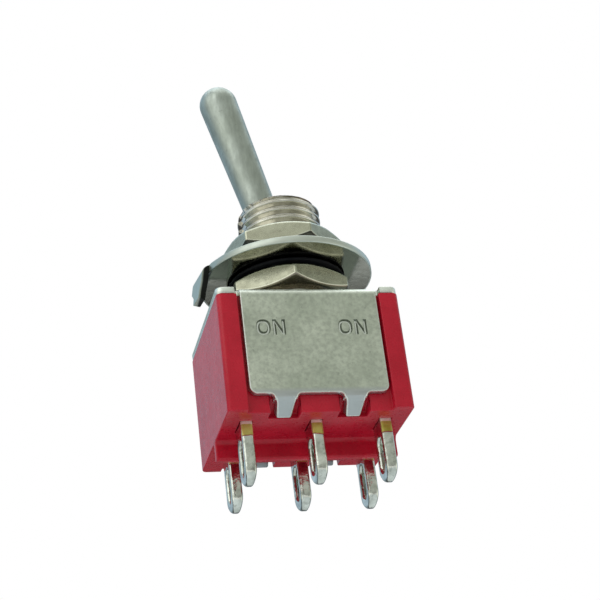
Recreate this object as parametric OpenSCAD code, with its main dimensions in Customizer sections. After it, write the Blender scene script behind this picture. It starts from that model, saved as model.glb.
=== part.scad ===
// Miniature two-pole toggle switch for panel mounting, with six solder lugs.
// Millimetres, +Z along the bushing. The origin is on the bushing's axis at the frame's top face,
// and the marked flange of the frame faces -Y. The lever rests leaning towards -X.

/* [Case] */
// Width of the case, along the lever's throw
case_w = 12.6; // [12.4:0.1:14]
// Depth of the case, across the throw
case_d = 10.8; // [10.6:0.1:12]
// Height of the case below the frame's sheet
case_h = 8.5; // [8.3:0.1:10]
// Wall between the chamber and the side faces
side_wall = 1.1; // [0.8:0.1:1.2]
// Wall between the chamber and the bays for the flanges
bay_wall = 0.75; // [0.6:0.05:0.8]
// Thickness of the case's floor
floor_t = 1.4; // [1.2:0.1:1.6]
// Radius of the case's upright edges
case_edge_r = 0.35; // [0.1:0.05:0.6]
// Thickness of the partition between the two poles
partition_t = 0.8; // [0.6:0.1:1]
// Thickness of the barrier ridge under the case
ridge_t = 0.6; // [0.5:0.1:1.6]
// Height of the barrier ridge
ridge_h = 1.4; // [0.8:0.1:1.8]
// Radius of the hollow where the ridge meets the floor
ridge_fillet = 0.35; // [0.2:0.05:0.9]

/* [Frame] */
// Thickness of the frame's sheet
sheet_t = 0.5; // [0.4:0.05:0.6]
// Width of the front and back flanges
flange_w = 9.45; // [9:0.05:10]
// Length of the flanges, down from the frame's top face
flange_l = 7.85; // [7:0.05:8]
// Outer radius of the folds
fold_r = 0.6; // [0.55:0.05:0.8]
// Radius of the flanges' lower corners
flange_corner_r = 0.5; // [0.2:0.1:0.8]
// Distance between the two tabs of a flange
tab_pitch = 4.7; // [4:0.1:5.2]
// Width of a tab at its root
tab_root_w = 1.55; // [1.3:0.05:1.8]
// Width of a tab at its tip
tab_tip_w = 0.95; // [0.7:0.05:1.2]
// Angle that the tabs are folded in, from upright
tab_fold = 62; // [50:1:70]
// Length of the straight part of a tab, past its fold
tab_l = 1.2; // [0.9:0.05:1.3]

/* [Bushing] */
// Outer diameter of the thread
thread_d = 6; // [5.8:0.1:6.4]
// Depth from the crest of the thread to where it meets a nut's thread
thread_bite = 0.2; // [0.15:0.05:0.25]
// Height of the bushing above the frame
bushing_h = 8.8; // [8.4:0.1:9.5]
// Radius of the opening at the bushing's top
mouth_r = 2.5; // [2.45:0.05:2.55]
// Height of the chamfer at the bushing's top
mouth_chamfer = 0.25; // [0.1:0.05:0.3]
// Diameter of the flange under the frame's sheet
bush_flange_d = 7.6; // [7:0.1:8]
// Thickness of that flange
bush_flange_t = 0.6; // [0.4:0.1:0.7]
// Width of the keyway
keyway_w = 1; // [0.8:0.1:1.2]
// Depth of the keyway
keyway_depth = 0.3; // [0.2:0.05:0.3]

/* [Lever] */
// Height of the lever's pivot above the frame
pivot_z = 4.15; // [4:0.05:4.3]
// Tilt of the lever to each side of upright
throw_deg = 14; // [11:0.5:14]
// Distance from the pivot to the centre of the domed tip
lever_l = 14.5; // [10:0.5:20]
// Radius of the tip
tip_r = 1.42; // [1.3:0.02:1.6]
// Radius of the bat where it leaves the ball
neck_r = 1.12; // [1:0.02:1.14]
// Radius of the ball that the lever turns on
ball_r = 2; // [1.9:0.05:2]
// Distance from the pivot down to the centre of the tail ball
tail_l = 6.15; // [6.05:0.05:6.25]
// Radius of the tail ball
tail_ball_r = 0.8; // [0.7:0.05:0.85]
// Radius of the tail at its thin end
tail_r = 0.5; // [0.4:0.05:0.55]
// Radius of the cross pin
pin_r = 0.4; // [0.3:0.05:0.45]
// Depth of the grooves for the pin in the bushing's bore
pin_groove = 0.5; // [0.3:0.05:0.5]

/* [Mounting hardware] */
// Width of the nuts across their flats
nut_af = 8; // [7.5:0.1:9]
// Thickness of a nut
nut_t = 1.6; // [1.5:0.1:2]
// Height of the lower nut above the frame
lower_nut_z = 1.04; // [0.1:0.01:1.2]
// Turn of the lower nut about the bushing
lower_nut_turn = 24.6; // [0:0.2:60]
// Turn of the upper nut about the bushing
upper_nut_turn = 43.25; // [0:0.25:60]
// Gap between the tab washer and the upper nut
upper_nut_gap = 0.85; // [0.05:0.05:0.9]
// Diameter of the lock washer
lock_d = 8.4; // [8:0.1:10]
// Overall thickness of the lock washer, over its twisted teeth
lock_t = 0.34; // [0.3:0.02:0.6]
// Number of teeth on the lock washer
lock_teeth = 10; // [6:1:12]
// Diameter of the tab washer
tab_washer_d = 12.3; // [11:0.1:13]
// Thickness of the tab washer
tab_washer_t = 0.5; // [0.4:0.05:0.6]
// Turn of the keyway and the locating tab about the bushing, from the left towards the front
key_turn = 7.5; // [0:0.5:15]
// Length of the locating tab past its fold
locating_l = 1.5; // [1:0.05:1.6]
// Angle that the locating tab is folded down
locating_fold = 80; // [70:1:90]
// Width of the locating tab at its root
locating_w = 2.3; // [1.8:0.1:2.6]

/* [Terminals] */
// Distance between neighbouring terminals of a row
lug_pitch = 4.75; // [4.65:0.05:4.8]
// Distance between the two rows
row_pitch = 5; // [4.9:0.05:5.1]
// Width of a lug
lug_w = 2; // [1.8:0.1:2.1]
// Thickness of a lug
lug_t = 0.8; // [0.6:0.05:0.8]
// Length of a lug below the case
lug_l = 4.1; // [3.5:0.1:5]
// Width of the slot in a lug
slot_w = 1; // [0.8:0.05:1.1]
// Length of the slot
slot_l = 2.4; // [1.6:0.1:2.6]
// Distance from a lug's tip to the slot
slot_margin = 0.7; // [0.5:0.1:0.9]

/* [Contacts] */
// Angle that each wing of a rocker is bent up
wing_deg = 7; // [6:0.5:7.5]
// Thickness of a rocker's strip
rocker_t = 0.4; // [0.3:0.05:0.45]
// Radius of a contact rivet
contact_r = 0.65; // [0.5:0.05:0.7]
// Height of a contact rivet's head
contact_h = 0.3; // [0.2:0.05:0.35]
// Thickness of the foot that carries a contact rivet
foot_t = 0.5; // [0.4:0.05:0.6]
// Radius of a plunger
plunger_r = 0.68; // [0.6:0.02:0.7]
// Length of a plunger, from its round tip to the spring's seat
plunger_l = 2.4; // [2.2:0.05:2.5]
// Diameter of the spring wire
wire_d = 0.2; // [0.16:0.02:0.22]

/* [Hidden] */
$fn = 96;

// Clearances: pieces that are pressed or moulded together, pieces that run in each other, and sliders
seat_gap = 0.02;
run_gap = 0.05;
slide_gap = 0.1;
// Overlap of the volumes that are joined or cut, so that no two faces coincide
eps = 0.01;

// Case
case_top = -sheet_t;
case_bottom = case_top - case_h;
bay_w = flange_w + 0.4;
bay_depth = sheet_t + run_gap;
chamber_hw = case_w / 2 - side_wall;
chamber_hd = case_d / 2 - bay_depth - bay_wall;
floor_z = case_bottom + floor_t;
pocket_w = tab_root_w + 0.5;
ridge_round = 0.2;

// Frame
front_y = -case_d / 2;
relief_w = 0.3;
plate_corner_r = 0.5;
tab_fold_z = -flange_l - 0.05;
tab_fold_r = sheet_t + 0.15;
tab_tip_z = tab_fold_z - tab_fold_r * sin(tab_fold) - tab_l * cos(tab_fold);
tab_root_fillet = 0.35;

// Bushing
thread_r = thread_d / 2;
shank_r = thread_r - thread_bite;
ball_seat_r = ball_r + run_gap;
seat_mouth_r = 1.7;
seat_mouth_z = pivot_z + sqrt(pow(ball_seat_r, 2) - pow(seat_mouth_r, 2));
bushing_bottom = -sheet_t - bush_flange_t;
bore_flare = 0.35;

// Stack of nuts and washers
lower_nut_top = lower_nut_z + nut_t;
lock_z = lower_nut_top + seat_gap;
tab_washer_z = lock_z + lock_t + run_gap;
upper_nut_z = tab_washer_z + tab_washer_t + upper_nut_gap;
upper_nut_top = upper_nut_z + nut_t;
nut_bore_r = shank_r + run_gap;
nut_chamfer_deg = 30;
nut_chamfer_r = nut_af / 2 - 0.16;
locating_fold_r = tab_washer_t + 0.3;

// Contacts: the rivets' heads set the fulcrum, and the fulcrum sets the rockers and the plungers
row_y = row_pitch / 2;
fulcrum_r = lug_t / 2;
wing_gap = fulcrum_r + run_gap;
button_h = 0.35;
button_r = 0.55;
contact_gap = 0.03;
contact_top = floor_z + foot_t + contact_h;
wing_under = wing_gap * cos(wing_deg);
fulcrum_z = contact_top + contact_gap + button_h - wing_under;
rocker_w = 2;
rocker_hl = 4.5;
ear_t = 0.25;
ear_r = 0.42;
saddle_w = rocker_w - 2 * ear_t - 2 * run_gap;
foot_in = 1.5;
contact_x = lug_pitch - 0.85;

// Carrier, plungers and springs
tail_reach = tail_l * sin(throw_deg);
carrier_top = bushing_bottom - slide_gap;
carrier_hd = chamber_hd - slide_gap;
carrier_hw = 1.7;
carrier_plate_t = 1.9;
socket_r = tail_ball_r + 0.08;
socket_bottom = pivot_z - tail_l - tail_ball_r - 0.08;
boss_bottom = socket_bottom - 0.6;
boss_r = 1.25;
plunger_lift = 0.08;
plunger_tip = fulcrum_z + wing_under + rocker_t + plunger_lift;
plunger_top = plunger_tip + plunger_l;
guide_r = plunger_r + 0.06;
guide_bottom = plunger_tip + plunger_l * 0.6;
spring_top = carrier_top - 0.8;
spring_r = plunger_r - wire_d / 2 - 0.03;
partition_top = min(boss_bottom, guide_bottom) - 0.3;

// A bar along X with the given outline in the YZ plane
module along_x(length) {
  rotate([90, 0, 90])
    linear_extrude(length, center = true)
      children();
}

// A bar along Y with the given outline in the XZ plane
module along_y(length) {
  rotate([90, 0, 0])
    linear_extrude(length, center = true)
      children();
}

// Both of a pair that mirror each other in the XZ plane
module front_and_back() {
  children();
  mirror([0, 1, 0])
    children();
}

// Both of a pair that mirror each other in the YZ plane
module left_and_right() {
  children();
  mirror([1, 0, 0])
    children();
}

module rounded_rect(w, d, r) {
  square([w - 2 * r, d], center = true);
  square([w, d - 2 * r], center = true);
  for (x = [-1, 1], y = [-1, 1])
    translate([x * (w / 2 - r), y * (d / 2 - r)])
      circle(r, $fn = 32);
}

// ---- Case ----

// Side view of the case and its ridge, in the YZ plane
module case_section() {
  translate([-case_d / 2, case_bottom])
    square([case_d, case_h]);
  translate([-ridge_t / 2, case_bottom - ridge_h + ridge_round])
    square([ridge_t, ridge_h - ridge_round + eps]);
  for (y = [-1, 1])
    translate([y * (ridge_t / 2 - ridge_round), case_bottom - ridge_h + ridge_round])
      circle(ridge_round, $fn = 32);
  translate([-ridge_t / 2 + ridge_round, case_bottom - ridge_h])
    square([ridge_t - 2 * ridge_round, ridge_round + eps]);
  // hollow fillets on both sides of the ridge
  for (y = [-1, 1])
    difference() {
      translate([y > 0 ? ridge_t / 2 - eps : -ridge_t / 2 - ridge_fillet, case_bottom - ridge_fillet])
        square([ridge_fillet + eps, ridge_fillet + eps]);
      translate([y * (ridge_t / 2 + ridge_fillet), case_bottom - ridge_fillet])
        circle(ridge_fillet, $fn = 64);
    }
}

// Room for a folded tab in the YZ plane: the tab's inner face with "gap" behind it, open to the outside
module tab_pocket_section(gap) {
  reach = 3;
  translate([front_y + tab_fold_r, tab_fold_z])
    rotate(tab_fold)
      translate([-tab_fold_r - reach, -tab_l - gap])
        square([reach + sheet_t + gap, tab_l + gap]);
  translate([front_y - reach, tab_fold_z - tab_fold_r])
    square([reach + sheet_t + gap, tab_fold_r + gap]);
}

module case() {
  color("firebrick")
    difference() {
      intersection() {
        along_x(case_w)
          case_section();
        translate([0, 0, case_bottom - ridge_h - 1])
          linear_extrude(case_h + ridge_h + 1)
            rounded_rect(case_w, case_d, case_edge_r);
      }
      // bays for the flanges
      front_and_back()
        translate([-bay_w / 2, front_y - eps, case_bottom - eps])
          cube([bay_w, bay_depth + eps, case_h + 2 * eps]);
      // pockets for the tabs
      front_and_back()
        for (x = [-1, 1])
          translate([x * tab_pitch / 2, 0, 0])
            along_x(pocket_w)
              tab_pocket_section(slide_gap);
      // chamber, with the partition left standing
      difference() {
        translate([-chamber_hw, -chamber_hd, floor_z])
          cube([2 * chamber_hw, 2 * chamber_hd, case_h]);
        translate([-chamber_hw - eps, -partition_t / 2, floor_z - eps])
          cube([2 * chamber_hw + 2 * eps, partition_t, partition_top - floor_z]);
      }
      // slots for the terminals
      for (x = [-1, 0, 1], y = [-1, 1])
        translate([x * lug_pitch, y * row_y, case_bottom])
          cube([lug_t + 2 * seat_gap, lug_w + 2 * seat_gap, 3 * floor_t], center = true);
    }
}

// ---- Frame ----

// A quarter or other part of a bent sheet: the sector of a ring from angle a0 to a1
module bend(r, a0, a1) {
  far = 2 * r;
  middle = (a0 + a1) / 2;
  intersection() {
    difference() {
      circle(r, $fn = 64);
      circle(r - sheet_t, $fn = 64);
    }
    polygon([
      [0, 0],
      [far * cos(a0), far * sin(a0)],
      [far * cos(middle), far * sin(middle)],
      [far * cos(a1), far * sin(a1)]
    ]);
  }
}

// Front flange with its tabs' fold, in the YZ plane
module flange_section() {
  translate([front_y + fold_r - eps, -sheet_t])
    square([2 * eps, sheet_t]);
  translate([front_y + fold_r, -fold_r])
    bend(fold_r, 90, 180);
  translate([front_y, tab_fold_z])
    square([sheet_t, -fold_r - tab_fold_z]);
  translate([front_y + tab_fold_r, tab_fold_z]) {
    bend(tab_fold_r, 180, 180 + tab_fold);
    rotate(tab_fold)
      translate([-tab_fold_r, -tab_l])
        square([sheet_t, tab_l]);
  }
}

// A tab seen from the front, with fillets at its root
module tab_outline() {
  root_hw = tab_root_w / 2;
  polygon([
    [-root_hw, -flange_l + eps],
    [root_hw, -flange_l + eps],
    [tab_tip_w / 2, tab_tip_z],
    [tab_tip_w / 2, tab_tip_z - sheet_t],
    [-tab_tip_w / 2, tab_tip_z - sheet_t],
    [-tab_tip_w / 2, tab_tip_z]
  ]);
  for (x = [-1, 1])
    difference() {
      translate([x * root_hw - (x < 0 ? tab_root_fillet : 0.1), -flange_l - tab_root_fillet])
        square([tab_root_fillet + 0.1, tab_root_fillet + eps]);
      translate([x * (root_hw + tab_root_fillet), -flange_l - tab_root_fillet])
        circle(tab_root_fillet, $fn = 32);
    }
}

// The flange and its tabs seen from the front
module flange_outline() {
  hw = flange_w / 2;
  translate([-hw, -flange_l + flange_corner_r])
    square([flange_w, flange_l - flange_corner_r + eps]);
  translate([-hw + flange_corner_r, -flange_l])
    square([flange_w - 2 * flange_corner_r, flange_corner_r + eps]);
  for (x = [-1, 1])
    translate([x * (hw - flange_corner_r), -flange_l + flange_corner_r])
      circle(flange_corner_r, $fn = 32);
  for (x = [-1, 1])
    translate([x * tab_pitch / 2, 0])
      tab_outline();
}

module frame() {
  color([0.67, 0.69, 0.62])
    union() {
      difference() {
        translate([0, 0, -sheet_t])
          linear_extrude(sheet_t)
            rounded_rect(case_w, case_d, plate_corner_r);
        translate([0, 0, -sheet_t - eps])
          cylinder(r = thread_r + run_gap, h = sheet_t + 2 * eps);
        // the folds take the place of the plate's edge, with a relief cut at each end
        front_and_back()
          translate([-flange_w / 2 - relief_w, front_y - eps, -sheet_t - eps])
            cube([flange_w + 2 * relief_w, fold_r + eps, sheet_t + 2 * eps]);
      }
      front_and_back()
        intersection() {
          along_x(flange_w)
            flange_section();
          along_y(2 * case_d)
            flange_outline();
        }
    }
}

// ---- Bushing ----

// Stretches of the bushing that no nut grips, and so keep the thread's full diameter
free_stretches = [
  [-sheet_t - eps, lower_nut_z - run_gap],
  [lower_nut_top + run_gap, upper_nut_z - run_gap],
  [upper_nut_top + run_gap, bushing_h - mouth_chamfer]
];

module bushing_outside() {
  translate([0, 0, bushing_bottom])
    cylinder(r = bush_flange_d / 2, h = bush_flange_t);
  // where a nut grips, bushing and nut both end at the line where their threads meet
  translate([0, 0, -sheet_t - eps])
    cylinder(r = shank_r, h = bushing_h - mouth_chamfer + sheet_t);
  for (stretch = free_stretches)
    translate([0, 0, stretch[0]])
      cylinder(r = thread_r, h = stretch[1] - stretch[0]);
  translate([0, 0, bushing_h - mouth_chamfer])
    cylinder(r1 = thread_r, r2 = thread_r - mouth_chamfer, h = mouth_chamfer);
}

module bushing() {
  groove_hw = pin_r + run_gap;
  groove_hl = ball_seat_r + pin_groove;
  color([0.76, 0.73, 0.65])
    difference() {
      bushing_outside();
      // spherical seat for the lever's ball, open below
      translate([0, 0, bushing_bottom - eps])
        cylinder(r = ball_seat_r, h = pivot_z - bushing_bottom + eps);
      translate([0, 0, pivot_z])
        sphere(ball_seat_r);
      translate([0, 0, bushing_bottom - eps])
        cylinder(r1 = ball_seat_r + bore_flare, r2 = ball_seat_r, h = bush_flange_t);
      // mouth that clears the tilted lever
      translate([0, 0, seat_mouth_z - eps])
        cylinder(r1 = seat_mouth_r, r2 = mouth_r, h = bushing_h - seat_mouth_z + 2 * eps);
      // grooves for the ends of the cross pin, open below
      translate([0, 0, pivot_z])
        along_y(2 * groove_hl)
          circle(groove_hw, $fn = 48);
      translate([-groove_hw, -groove_hl, bushing_bottom - eps])
        cube([2 * groove_hw, 2 * groove_hl, pivot_z - bushing_bottom + eps]);
      // keyway for the tab washer, on the same side as its tab
      rotate([0, 0, key_turn])
        translate([-thread_r - 1, -keyway_w / 2, eps])
          cube([1 + keyway_depth, keyway_w, bushing_h]);
    }
}

// ---- Lever ----

module lever() {
  neck_z = sqrt(pow(ball_r, 2) - pow(neck_r, 2)) - 0.1;
  tail_root_r = 1;
  tail_root_z = sqrt(pow(ball_r, 2) - pow(tail_root_r, 2)) - 0.1;
  color([0.72, 0.75, 0.75])
    translate([0, 0, pivot_z])
      rotate([0, -throw_deg, 0])
        difference() {
          union() {
            sphere(ball_r);
            translate([0, 0, neck_z])
              cylinder(r1 = neck_r, r2 = tip_r, h = lever_l - neck_z);
            translate([0, 0, lever_l])
              sphere(tip_r, $fn = 64);
            translate([0, 0, -tail_l])
              cylinder(r1 = tail_r, r2 = tail_root_r, h = tail_l - tail_root_z);
            translate([0, 0, -tail_l])
              sphere(tail_ball_r, $fn = 48);
          }
          along_y(3 * ball_r)
            circle(pin_r + seat_gap, $fn = 48);
        }
}

module lever_pin() {
  color("silver")
    translate([0, 0, pivot_z])
      along_y(2 * (ball_seat_r + pin_groove - run_gap))
        circle(pin_r, $fn = 48);
}

// ---- Nuts and washers ----

// A turned blank that takes the corners off a hexagon, above and below
module nut_blank() {
  reach = nut_af / 5;
  rise = reach * tan(nut_chamfer_deg);
  rotate_extrude()
    polygon([
      [0, 0],
      [nut_chamfer_r, 0],
      [nut_chamfer_r + reach, rise],
      [nut_chamfer_r + reach, nut_t - rise],
      [nut_chamfer_r, nut_t],
      [0, nut_t]
    ]);
}

module hex_nut(z, turn) {
  bore_chamfer = 0.2;
  translate([0, 0, z])
    rotate([0, 0, turn])
      difference() {
        intersection() {
          cylinder(r = nut_af / sqrt(3), h = nut_t, $fn = 6);
          nut_blank();
        }
        translate([0, 0, -eps])
          cylinder(r = nut_bore_r, h = nut_t + 2 * eps);
        for (side = [0, 1])
          translate([0, 0, side * nut_t])
            mirror([0, 0, side])
              translate([0, 0, -eps])
                cylinder(r1 = nut_bore_r + bore_chamfer, r2 = nut_bore_r, h = bore_chamfer);
      }
}

module lower_nut() {
  color([0.78, 0.76, 0.68])
    hex_nut(lower_nut_z, lower_nut_turn);
}

module upper_nut() {
  color([0.78, 0.76, 0.68])
    hex_nut(upper_nut_z, upper_nut_turn);
}

module lock_washer() {
  ring_t = 0.6 * lock_t;
  ring_w = 0.75;
  tooth_w = 0.9;
  tooth_in = thread_r + 2 * run_gap;
  tooth_out = lock_d / 2 - ring_w / 2;
  twist = asin((lock_t - ring_t) / tooth_w) * 0.95;
  color([0.45, 0.45, 0.44])
    translate([0, 0, lock_z + lock_t / 2]) {
      difference() {
        cylinder(d = lock_d, h = ring_t, center = true);
        cylinder(d = lock_d - 2 * ring_w, h = lock_t, center = true);
      }
      for (i = [0 : lock_teeth - 1])
        rotate([0, 0, i * 360 / lock_teeth])
          translate([(tooth_in + tooth_out) / 2, 0, 0])
            rotate([twist, 0, 0])
              cube([tooth_out - tooth_in, tooth_w, ring_t], center = true);
    }
}

// The locating tab in the XZ plane: out past the rim, over a fold and down
module locating_section() {
  centre_z = tab_washer_z + tab_washer_t - locating_fold_r;
  centre_x = -tab_washer_d / 2 + 0.3;
  translate([centre_x - eps, tab_washer_z])
    square([0.9, tab_washer_t]);
  translate([centre_x, centre_z]) {
    intersection() {
      difference() {
        circle(locating_fold_r, $fn = 64);
        circle(locating_fold_r - tab_washer_t, $fn = 64);
      }
      polygon([
        [0, 0],
        [0, 2 * locating_fold_r],
        [-2 * locating_fold_r, 2 * locating_fold_r],
        [-2 * locating_fold_r * sin(locating_fold), 2 * locating_fold_r * cos(locating_fold)]
      ]);
    }
    rotate(locating_fold)
      translate([-locating_l, locating_fold_r - tab_washer_t])
        square([locating_l, tab_washer_t]);
  }
}

// The locating tab seen from the left: square-shouldered, then narrowed to a blunt point
module locating_outline() {
  hw = locating_w / 2;
  top = tab_washer_z + tab_washer_t + eps;
  shoulder = top - locating_fold_r - 0.35 * locating_l;
  foot = top - locating_fold_r - 2 * locating_l;
  polygon([
    [-hw, top], [-hw, shoulder],
    [-hw * 0.62, shoulder - 0.25], [-hw * 0.3, foot],
    [hw * 0.3, foot], [hw * 0.62, shoulder - 0.25],
    [hw, shoulder], [hw, top]
  ]);
}

module tab_washer() {
  hole_r = thread_r + 2 * run_gap;
  key_w = keyway_w - 2 * slide_gap;
  color([0.66, 0.68, 0.64])
    rotate([0, 0, key_turn])
      union() {
        translate([0, 0, tab_washer_z])
          difference() {
            cylinder(d = tab_washer_d, h = tab_washer_t);
            translate([0, 0, -eps])
              cylinder(r = hole_r, h = tab_washer_t + 2 * eps);
          }
        // key that stands in the bushing's keyway
        translate([-hole_r - 0.2, -key_w / 2, tab_washer_z])
          cube([0.2 + hole_r - (thread_r - keyway_depth + run_gap), key_w, tab_washer_t]);
        intersection() {
          along_y(locating_w)
            locating_section();
          along_x(4 * tab_washer_d)
            locating_outline();
        }
      }
}

// ---- Terminals and contacts ----

// A solder lug in the YZ plane: round tip, slot, and the blade up to the given height
module lug_outline(top) {
  tip = case_bottom - lug_l;
  difference() {
    union() {
      translate([0, tip + lug_w / 2])
        circle(d = lug_w, $fn = 64);
      translate([-lug_w / 2, tip + lug_w / 2])
        square([lug_w, top - tip - lug_w / 2]);
    }
    for (z = [slot_w / 2, slot_l - slot_w / 2])
      translate([0, tip + slot_margin + z])
        circle(d = slot_w, $fn = 48);
    translate([-slot_w / 2, tip + slot_margin + slot_w / 2])
      square([slot_w, slot_l - slot_w]);
  }
}

// Outer terminal, with a foot bent inwards that carries the contact rivet
module outer_terminal(side, pole) {
  color([0.83, 0.82, 0.76])
    translate([side * lug_pitch, pole * row_y, 0])
      difference() {
        union() {
          along_x(lug_t)
            lug_outline(floor_z + foot_t);
          translate([side > 0 ? -foot_in : -lug_t / 2, -lug_w / 2, floor_z + seat_gap])
            cube([foot_in + lug_t / 2, lug_w, foot_t - seat_gap]);
        }
        translate([side * (contact_x - lug_pitch), 0, floor_z])
          cylinder(r = contact_r / 2 + seat_gap, h = foot_t + eps, $fn = 32);
      }
}

// Middle terminal: its narrowed, rounded top edge is the fulcrum that a rocker see-saws on
module mid_terminal(pole) {
  shoulder = fulcrum_z - ear_r - slide_gap;
  color([0.83, 0.82, 0.76])
    translate([0, pole * row_y, 0]) {
      along_x(lug_t)
        lug_outline(shoulder);
      translate([-lug_t / 2, -saddle_w / 2, shoulder - eps])
        cube([lug_t, saddle_w, fulcrum_z - shoulder + eps]);
      translate([0, 0, fulcrum_z])
        along_y(saddle_w)
          circle(fulcrum_r, $fn = 48);
    }
}

// Contact rivet: its head stands on a terminal's foot, and its shank goes through it
module contact(side, pole) {
  color([0.88, 0.88, 0.86])
    translate([side * contact_x, pole * row_y, floor_z + seat_gap]) {
      cylinder(r = contact_r / 2, h = foot_t, $fn = 32);
      translate([0, 0, foot_t])
        cylinder(r = contact_r, h = contact_h - seat_gap, $fn = 32);
    }
}

// One wing of a rocker in the XZ plane, about the fulcrum, bent up from the middle
module wing() {
  polygon([
    [0, wing_gap],
    [rocker_hl * cos(wing_deg), wing_gap + rocker_hl * sin(wing_deg)],
    [rocker_hl * cos(wing_deg) - rocker_t * sin(wing_deg),
      wing_gap + rocker_hl * sin(wing_deg) + rocker_t * cos(wing_deg)],
    [0, wing_gap + rocker_t / cos(wing_deg)]
  ]);
}

// Contact rocker: a strip with two raised wings, contact buttons, and ears beside the fulcrum
module rocker(pole) {
  color([0.85, 0.82, 0.72])
    translate([0, pole * row_y, fulcrum_z])
      rotate([0, wing_deg, 0])
        union() {
          left_and_right() {
            along_y(rocker_w)
              wing();
            rotate([0, -wing_deg, 0])
              translate([contact_x, 0, wing_under - button_h])
                cylinder(r = button_r, h = button_h + eps, $fn = 32);
          }
          for (side = [-1, 1])
            translate([0, side * (rocker_w - ear_t) / 2, 0])
              along_y(ear_t) {
                circle(ear_r, $fn = 48);
                translate([-ear_r, 0])
                  square([2 * ear_r, wing_gap + rocker_t / 2]);
              }
        }
}

// ---- Carrier, plungers and springs ----

module carrier() {
  color([0.9, 0.9, 0.86])
    translate([tail_reach, 0, 0])
      difference() {
        union() {
          translate([0, 0, carrier_top - carrier_plate_t])
            linear_extrude(carrier_plate_t)
              rounded_rect(2 * carrier_hw, 2 * carrier_hd, 0.4);
          translate([0, 0, boss_bottom])
            cylinder(r = socket_r + 0.5, h = carrier_top - boss_bottom - eps);
          for (pole = [-1, 1])
            translate([0, pole * row_y, guide_bottom])
              cylinder(r = boss_r, h = carrier_top - guide_bottom - eps);
        }
        // socket for the lever's tail ball, with a round floor
        translate([0, 0, socket_bottom + socket_r])
          cylinder(r = socket_r, h = carrier_top - socket_bottom);
        translate([0, 0, socket_bottom + socket_r])
          sphere(socket_r, $fn = 48);
        // blind guides for the plungers and their springs
        for (pole = [-1, 1])
          translate([0, pole * row_y, guide_bottom - eps])
            cylinder(r = guide_r, h = spring_top - guide_bottom + eps);
      }
}

module plunger(pole) {
  stub_r = spring_r - wire_d;
  stub_h = 0.5;
  color("goldenrod")
    translate([tail_reach, pole * row_y, 0]) {
      translate([0, 0, plunger_tip + plunger_r])
        sphere(plunger_r, $fn = 48);
      translate([0, 0, plunger_tip + plunger_r])
        cylinder(r = plunger_r, h = plunger_top - plunger_tip - plunger_r);
      translate([0, 0, plunger_top - eps])
        cylinder(r = stub_r, h = stub_h + eps, $fn = 48);
    }
}

// Height of the wire's middle after t turns of a coil spring with closed ends
function coil_z(t, closed, active, closed_pitch, active_pitch) =
  closed_pitch * min(t, closed)
  + active_pitch * max(0, min(t - closed, active))
  + closed_pitch * max(0, t - closed - active);

// A coil spring that stands between the heights z0 and z1
module coil_spring(z0, z1) {
  closed = 0.75;
  active = 2.75;
  steps = 18;
  sides = 6;
  turns = active + 2 * closed;
  closed_pitch = wire_d * 1.1;
  active_pitch = (z1 - z0 - wire_d - 2 * closed * closed_pitch) / active;
  rings = floor(turns * steps);
  points = [
    for (i = [0 : rings], j = [0 : sides - 1])
      let (
        a = i * 360 / steps,
        b = j * 360 / sides,
        r = spring_r + wire_d / 2 * cos(b),
        z = z0 + wire_d / 2 + coil_z(i / steps, closed, active, closed_pitch, active_pitch)
      )
      [r * cos(a), r * sin(a), z + wire_d / 2 * sin(b)]
  ];
  walls = [
    for (i = [0 : rings - 1], j = [0 : sides - 1])
      let (k = (j + 1) % sides)
      [i * sides + j, (i + 1) * sides + j, (i + 1) * sides + k, i * sides + k]
  ];
  first_end = [for (j = [0 : sides - 1]) j];
  last_end = [for (j = [sides - 1 : -1 : 0]) rings * sides + j];
  polyhedron(points, concat(walls, [first_end, last_end]), convexity = 6);
}

module spring(pole) {
  color("gray")
    translate([tail_reach, pole * row_y, 0])
      coil_spring(plunger_top + seat_gap, spring_top - seat_gap);
}

case();
frame();
bushing();
lever();
lever_pin();
lower_nut();
lock_washer();
tab_washer();
upper_nut();
carrier();
plunger(-1);  // plunger_front
plunger(1);  // plunger_back
spring(-1);  // spring_front
spring(1);  // spring_back
rocker(-1);  // rocker_front
rocker(1);  // rocker_back
contact(-1, -1);  // contact_front_left
contact(1, -1);  // contact_front_right
contact(-1, 1);  // contact_back_left
contact(1, 1);  // contact_back_right
outer_terminal(-1, -1);  // terminal_front_left
mid_terminal(-1);  // terminal_front_mid
outer_terminal(1, -1);  // terminal_front_right
outer_terminal(-1, 1);  // terminal_back_left
mid_terminal(1);  // terminal_back_mid
outer_terminal(1, 1);  // terminal_back_right
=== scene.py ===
import math

import bmesh
import bpy
from mathutils import Matrix, Vector


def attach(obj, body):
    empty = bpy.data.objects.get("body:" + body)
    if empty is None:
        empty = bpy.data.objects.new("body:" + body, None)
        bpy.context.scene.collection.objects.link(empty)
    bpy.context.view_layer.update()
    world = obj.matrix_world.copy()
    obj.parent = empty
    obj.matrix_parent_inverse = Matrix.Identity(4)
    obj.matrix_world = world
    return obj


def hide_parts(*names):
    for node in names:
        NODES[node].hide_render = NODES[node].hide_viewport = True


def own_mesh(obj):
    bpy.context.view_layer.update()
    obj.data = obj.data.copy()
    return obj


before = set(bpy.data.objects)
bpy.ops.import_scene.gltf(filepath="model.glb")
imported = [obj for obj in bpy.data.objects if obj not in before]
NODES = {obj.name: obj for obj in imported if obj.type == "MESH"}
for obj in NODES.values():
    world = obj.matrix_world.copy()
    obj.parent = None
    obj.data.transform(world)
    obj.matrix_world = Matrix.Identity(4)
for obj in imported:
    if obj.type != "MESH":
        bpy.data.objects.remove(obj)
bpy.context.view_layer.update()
MM = 0.001

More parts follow.
